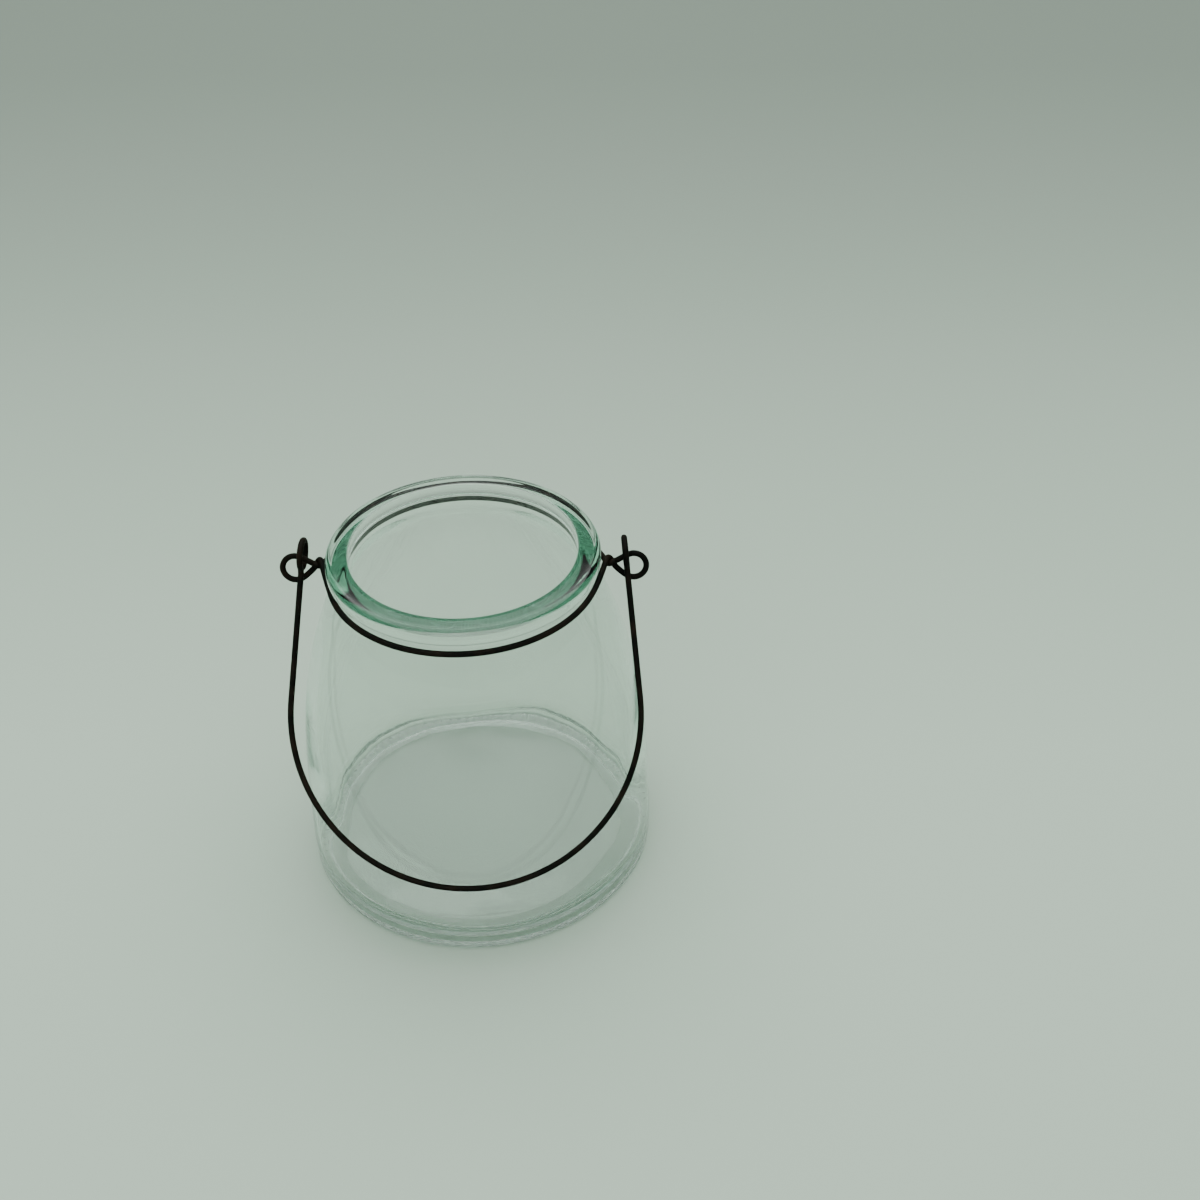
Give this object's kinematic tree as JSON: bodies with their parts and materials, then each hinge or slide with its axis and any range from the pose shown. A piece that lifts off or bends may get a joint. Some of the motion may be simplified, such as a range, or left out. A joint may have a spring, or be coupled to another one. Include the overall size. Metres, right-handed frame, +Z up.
{
  "type": "glass jar lantern",
  "caption": "Clear glass jar lantern with a rolled rim, a wire collar twisted into side eyelets and a swinging wire bail to hang it by.",
  "frame": {"origin": "centre of the jar's foot ring, on the surface it stands on", "axes": "+Z up through the mouth, X through the two eyelets, -Y the side on which the lowered bail rests"},
  "size_m": [0.1106, 0.1118, 0.114],
  "materials": {
    "clear_glass": "clear pressed glass with a faint green tint in its thick parts",
    "dark_wire": "annealed black iron wire, matt, with brown patches"
  },
  "bodies": {
    "jar": {"glass_jar": "clear_glass"},
    "collar": {"neck_collar": "dark_wire"},
    "bail": {"bail": "dark_wire"}
  },
  "joints": [
    {"name": "collar_turn", "type": "hinge", "parent": "jar", "child": "collar", "pos_m": [0, 0, 0.105], "axis": [0, 0, 1], "continuous": true},
    {"name": "bail_swing", "type": "hinge", "parent": "collar", "child": "bail", "pos_m": [0, 0.00107, 0.10901], "axis": [-1, 0, 0], "range_deg": [0, 291]}
  ]
}
